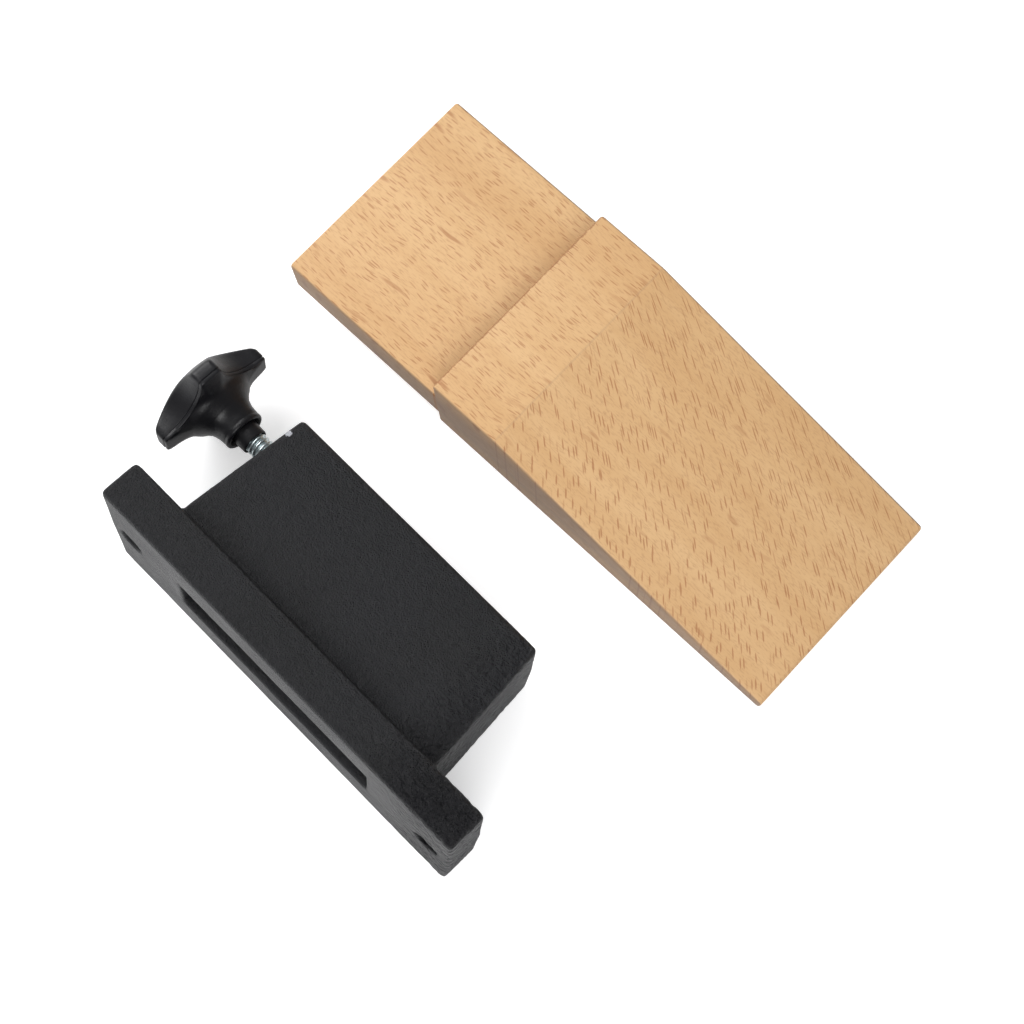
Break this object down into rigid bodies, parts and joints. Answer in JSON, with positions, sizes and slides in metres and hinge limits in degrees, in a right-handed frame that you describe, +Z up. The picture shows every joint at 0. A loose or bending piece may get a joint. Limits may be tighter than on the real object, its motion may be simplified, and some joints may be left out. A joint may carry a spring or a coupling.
{
  "type": "bench pin and holder",
  "caption": "Jeweller's bench pin set: a cast-iron socket holder with a long screw flange and a side clamp knob, and a loose sloped hardwood pin lying beside it.",
  "frame": {"origin": "on the table that the set lies on, under the middle of the set seen from above", "axes": "+X along the flange and the clamp screw, from the knob towards the flange's far end; +Y from the flange's bench face through the socket towards the loose pin; +Z up"},
  "size_m": [0.1678, 0.1504, 0.046],
  "materials": {
    "black_paint": "black satin paint over a fine orange-peel casting skin",
    "bright_zinc": "bright bluish zinc plating on a rolled thread",
    "black_plastic": "moulded satin black",
    "beech": "sanded, unoiled, with fine ray flecks"
  },
  "bodies": {
    "holder": {"holder_casting": "black_paint"},
    "clamp_screw": {"clamp_stud": "bright_zinc"},
    "clamp_grip": {"clamp_knob": "black_plastic"},
    "pin": {"bench_pin": "beech"}
  },
  "joints": [
    {"name": "clamp_feed", "type": "slide", "parent": "holder", "child": "clamp_screw", "axis": [1, 0, 0], "range_m": [-0.0052, 0.0077]},
    {"name": "clamp_turn", "type": "hinge", "parent": "clamp_screw", "child": "clamp_grip", "pos_m": [-0.05381, -0.03208, 0.01811], "axis": [1, 0, 0], "range_deg": [-1440, 2160]},
    {"name": "pin_lift", "type": "slide", "parent": "holder", "child": "pin", "axis": [0, 0, 1], "range_m": [0, 0.08]}
  ],
  "couplings": [
    {"joint": "clamp_feed", "follows": "clamp_turn", "m_per_rad": 0.00020213}
  ]
}
